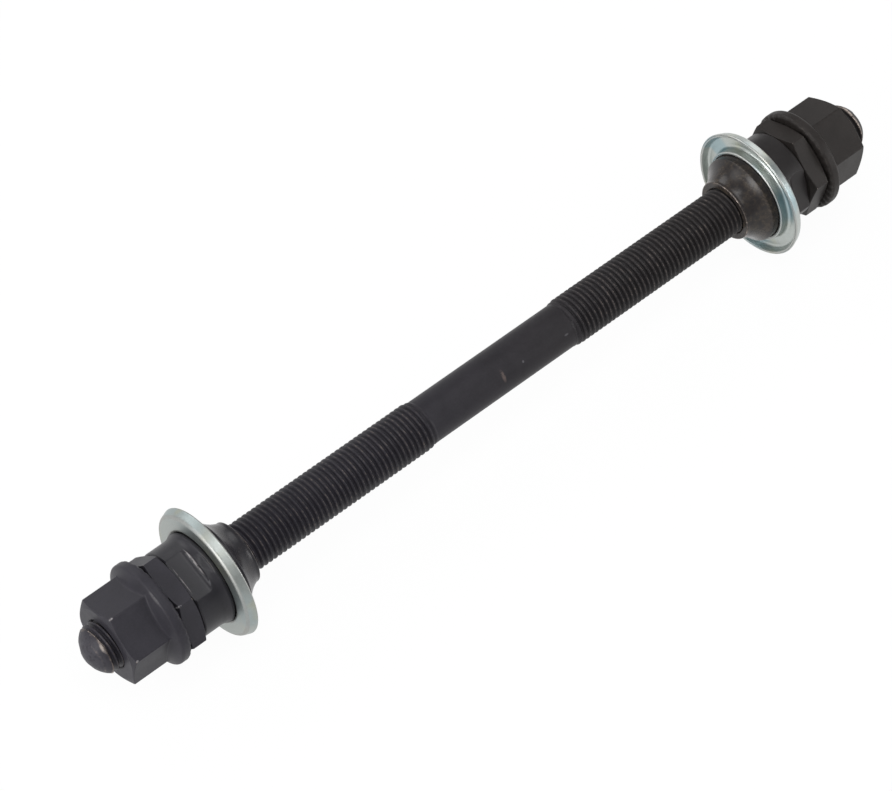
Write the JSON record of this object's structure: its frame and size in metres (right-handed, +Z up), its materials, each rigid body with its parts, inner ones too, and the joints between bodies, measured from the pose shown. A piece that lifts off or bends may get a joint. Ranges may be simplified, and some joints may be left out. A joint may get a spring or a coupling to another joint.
{
  "type": "bicycle hub axle",
  "caption": "Solid threaded bicycle rear hub axle with bearing cones, dust caps, locknuts and flanged axle nuts at both ends.",
  "frame": {"origin": "middle of the axle, on its centre line", "axes": "+Y along the axle towards its right end, +Z up"},
  "size_m": [0.026, 0.1844, 0.026],
  "materials": {
    "blackened_axle": "black phosphated steel, matte",
    "blackened_cone": "black phosphated steel, satin",
    "blackened_nut": "black phosphated steel, satin",
    "zinc_plate": "bright zinc plated sheet steel, slightly iridescent"
  },
  "bodies": {
    "axle": {"axle": "blackened_axle"},
    "left_cone": {"left_cone": "blackened_cone", "left_dust_cap": "zinc_plate"},
    "left_locknut": {"left_locknut": "blackened_nut"},
    "left_axle_nut": {"left_axle_nut": "blackened_nut"},
    "right_cone": {"right_cone": "blackened_cone", "right_dust_cap": "zinc_plate"},
    "right_locknut": {"right_locknut": "blackened_nut"},
    "right_axle_nut": {"right_axle_nut": "blackened_nut"}
  },
  "joints": [
    {"name": "left_axle_nut_travel", "type": "slide", "parent": "axle", "child": "left_axle_nut", "axis": [0, -1, 0], "range_m": [0, 0.01588]},
    {"name": "left_locknut_turn", "type": "hinge", "parent": "axle", "child": "left_locknut", "pos_m": [0, -0.0752, 0], "axis": [0, -1, 0], "range_deg": [-90, 90]},
    {"name": "left_cone_turn", "type": "hinge", "parent": "axle", "child": "left_cone", "pos_m": [0, -0.0668, 0], "axis": [0, -1, 0], "range_deg": [-180, 180]},
    {"name": "right_axle_nut_travel", "type": "slide", "parent": "axle", "child": "right_axle_nut", "axis": [0, 1, 0], "range_m": [0, 0.01588]},
    {"name": "right_locknut_turn", "type": "hinge", "parent": "axle", "child": "right_locknut", "pos_m": [0, 0.0744, 0], "axis": [0, 1, 0], "range_deg": [-90, 90]},
    {"name": "right_cone_turn", "type": "hinge", "parent": "axle", "child": "right_cone", "pos_m": [0, 0.066, 0], "axis": [0, 1, 0], "range_deg": [-180, 180]}
  ]
}
